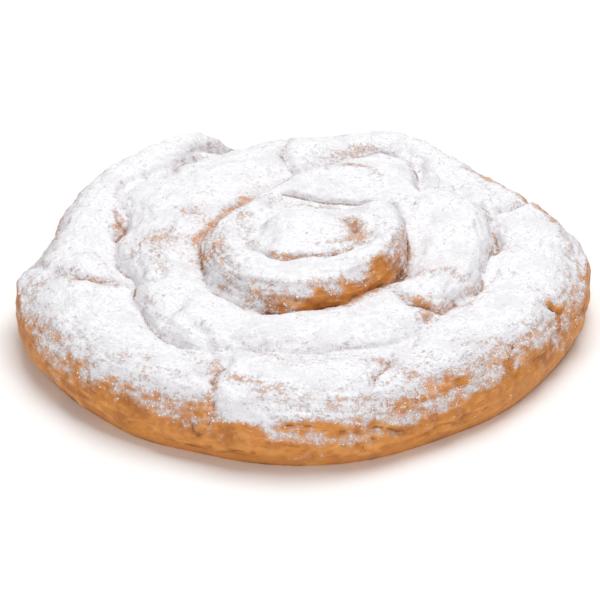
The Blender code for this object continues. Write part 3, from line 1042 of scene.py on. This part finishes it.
def sugar_coat(make, excess):
    """White sugar, greyer where it is thin, greyer where it slopes (a thinner coat and painted shade), with
    painted shade in hollows, and with hairlines and cracks.
    """
    white = make.tinted(SUGAR_WHITE, SUGAR_SHADE, excess, 0.75, 0.10, 0.7)
    white = make.tinted(white, SUGAR_SHADE, make.sway(make.medium, 0.8, make.broad), 0.44, 0.68, 0.40)
    # Greyer where the surface slopes away from level: partly a thinner coat, partly painted shade.
    white = make.tinted(white, SUGAR_SHADE, make.level, 1.0, 0.35, 0.42)
    # Painted shade in crevices.
    white = make.tinted(white, SUGAR_SHADE, make.crevice, 0.1, 0.8, 0.35)
    contour = make.math("ABSOLUTE", make.math("SUBTRACT", make.grain(8.0, detail=4.0), 0.5))
    in_patches = make.ease(make.grain(10.0), 0.48, 0.58)
    hairline = make.math("MULTIPLY", make.ease(contour, 0.008, 0.003), in_patches)
    white = make.mix(make.math("MULTIPLY", hairline, 0.55), white, HAIRLINE_GREY)
    return make.tinted(white, CRACK_GREY, make.sway(make.fine, 0.5, make.crack), 0.76, 1.0, 0.85)


def sugared_crust():
    """Golden crust under sugar that thins out in specks."""
    make = CrustMaker("sugared crust")
    density = sugar_density(make)
    excess = make.math("SUBTRACT", density, speck_chance(make))
    mask = make.ease(excess, 0.02, 0.14)
    colour = make.mix(mask, dusted_crust(make, density), sugar_coat(make, excess))
    bumps = make.bump(make.wrinkles, 0.30)
    bumps = make.bump(make.medium, 0.25, below=bumps)
    bumps = make.bump(make.fine, 0.12, below=bumps)
    bumps = make.bump(mask, 0.12, below=bumps)
    return make.finished(colour, make.ease(mask, 0.0, 1.0, 0.52, 0.95), shine=0.35, normal=bumps)


def powder():
    """Icing sugar in lumps: white, soft and without shine."""
    make = NodeMaker("sugar powder")
    tint = make.tinted(SUGAR_WHITE, SUGAR_SHADE, make.grain(0.8), 0.4, 0.7, 0.5)
    return make.finished(tint, roughness=0.95, shine=0.2, normal=make.bump(make.grain(0.15), 0.05))


def floor_paper():
    """White paper with a faint cloudiness."""
    make = NodeMaker("floor paper")
    tint = make.tinted(FLOOR_WHITE, SUGAR_SHADE, make.grain(400.0), 0.3, 0.7, 0.04)
    return make.finished(tint, roughness=0.9, shine=0.1)


def dress(piece, material):
    """Gives a finished piece its material and smooth shading, and fixes it to the part."""
    piece.data.materials.clear()
    piece.data.materials.append(material)
    start_piece()
    piece.select_set(True)
    bpy.context.view_layer.objects.active = piece
    bpy.ops.object.shade_smooth()
    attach(piece, "root")


def make_pastry():
    rope = roll_rope()
    wind(rope)
    pastry = press_together(rope, add_middle())
    pastry.name = pastry.data.name = "pastry"
    rise_in_grooves(pastry)
    tuck_base(pastry)
    bake_uneven(pastry)
    lumps = scatter_lumps(pastry, dust_with_sugar(pastry))
    fit_to_frame([pastry, lumps], "ensaimada")
    dress(pastry, sugared_crust())
    dress(lumps, powder())
    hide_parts("ensaimada")


def lay_floor():
    start_piece()
    bpy.ops.mesh.primitive_plane_add(size=FLOOR_SIZE, location=(0, 0, 0))
    floor = bpy.context.active_object
    floor.name = floor.data.name = "studio_floor"
    floor.data.materials.append(floor_paper())


def add_softbox(name, place, size, watts):
    """A square lamp that faces the pastry."""
    lamp = bpy.data.lights.new(name, "AREA")
    lamp.size = size
    lamp.energy = watts
    holder = bpy.data.objects.new(name, lamp)
    holder.location = place
    holder.rotation_euler = (-Vector(place)).to_track_quat("-Z", "Y").to_euler()
    bpy.context.scene.collection.objects.link(holder)


def light_studio():
    world = bpy.data.worlds.new("studio")
    bpy.context.scene.world = world
    world.use_nodes = True
    background = world.node_tree.nodes["Background"]
    background.inputs["Color"].default_value = LIGHT_WHITE
    background.inputs["Strength"].default_value = ROOM_LIGHT
    for name, place, size, watts in SOFTBOXES:
        add_softbox(name, place, size, watts)
    bpy.context.scene.view_settings.view_transform = "Standard"


def place_camera():
    lens = bpy.data.cameras.new("camera")
    lens.sensor_width = SENSOR_WIDTH
    frame_width = FRAME_PIXELS / PIXELS_PER_MM * MM
    lens.lens = SENSOR_WIDTH * CAMERA_DISTANCE / frame_width
    lens.clip_start, lens.clip_end = CAMERA_SEES_FROM, CAMERA_SEES_TO
    camera = bpy.data.objects.new("camera", lens)
    tilt = math.radians(CAMERA_ELEVATION)
    back = Vector((0, -math.cos(tilt), math.sin(tilt))) * CAMERA_DISTANCE
    camera.location = Vector(CAMERA_TARGET) * MM + back
    camera.rotation_euler = (math.radians(90 - CAMERA_ELEVATION), 0, 0)
    bpy.context.scene.collection.objects.link(camera)
    bpy.context.scene.camera = camera


place_camera()
light_studio()
lay_floor()
make_pastry()
